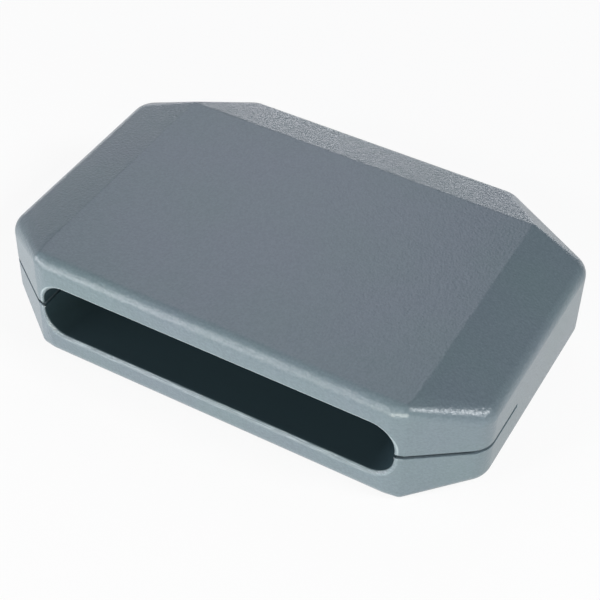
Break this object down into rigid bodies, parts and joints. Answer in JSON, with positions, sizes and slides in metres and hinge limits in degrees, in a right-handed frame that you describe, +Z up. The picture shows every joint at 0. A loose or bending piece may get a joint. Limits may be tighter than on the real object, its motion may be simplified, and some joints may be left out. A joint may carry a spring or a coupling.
{
  "type": "percussion block",
  "caption": "Bevelled moulded percussion block with a slot-shaped mouth, side slits and a rear clamp for a stand's rod.",
  "frame": {"origin": "centre of the flat underside of the block", "axes": "+Z up from the underside to the level top, +X along the block's length to the right of someone who faces the mouth, the mouth faces -Y and the rod clamp is at +Y"},
  "size_m": [0.1906, 0.1477, 0.0445],
  "materials": {
    "block_plastic": "fine pebble grain, satin",
    "insert_brass": "turned",
    "bracket_paint": "black powder coat on a casting",
    "zinc_plate": "bright zinc plate",
    "nickel_plate": "nickel plate",
    "spring_steel": "dark phosphate"
  },
  "bodies": {
    "block": {"block_body": "block_plastic", "threaded_inserts": "insert_brass", "mount_bracket": "bracket_paint", "bracket_screws": "zinc_plate", "screw_washers": "zinc_plate", "flat_washer": "zinc_plate", "spring_washer": "spring_steel"},
    "clamp_bolt": {"eye_bolt": "nickel_plate"},
    "clamp_nut": {"wing_nut": "nickel_plate"}
  },
  "joints": [
    {"name": "wing_nut_turn", "type": "hinge", "parent": "block", "child": "clamp_nut", "pos_m": [0.01513, 0.0755, 0.011], "axis": [-1, 0, 0], "range_deg": [0, 575]},
    {"name": "eye_bolt_draw", "type": "slide", "parent": "block", "child": "clamp_bolt", "axis": [1, 0, 0], "range_m": [0, 0.00128]}
  ],
  "couplings": [
    {"joint": "eye_bolt_draw", "follows": "wing_nut_turn", "m_per_rad": 0.00012732}
  ]
}
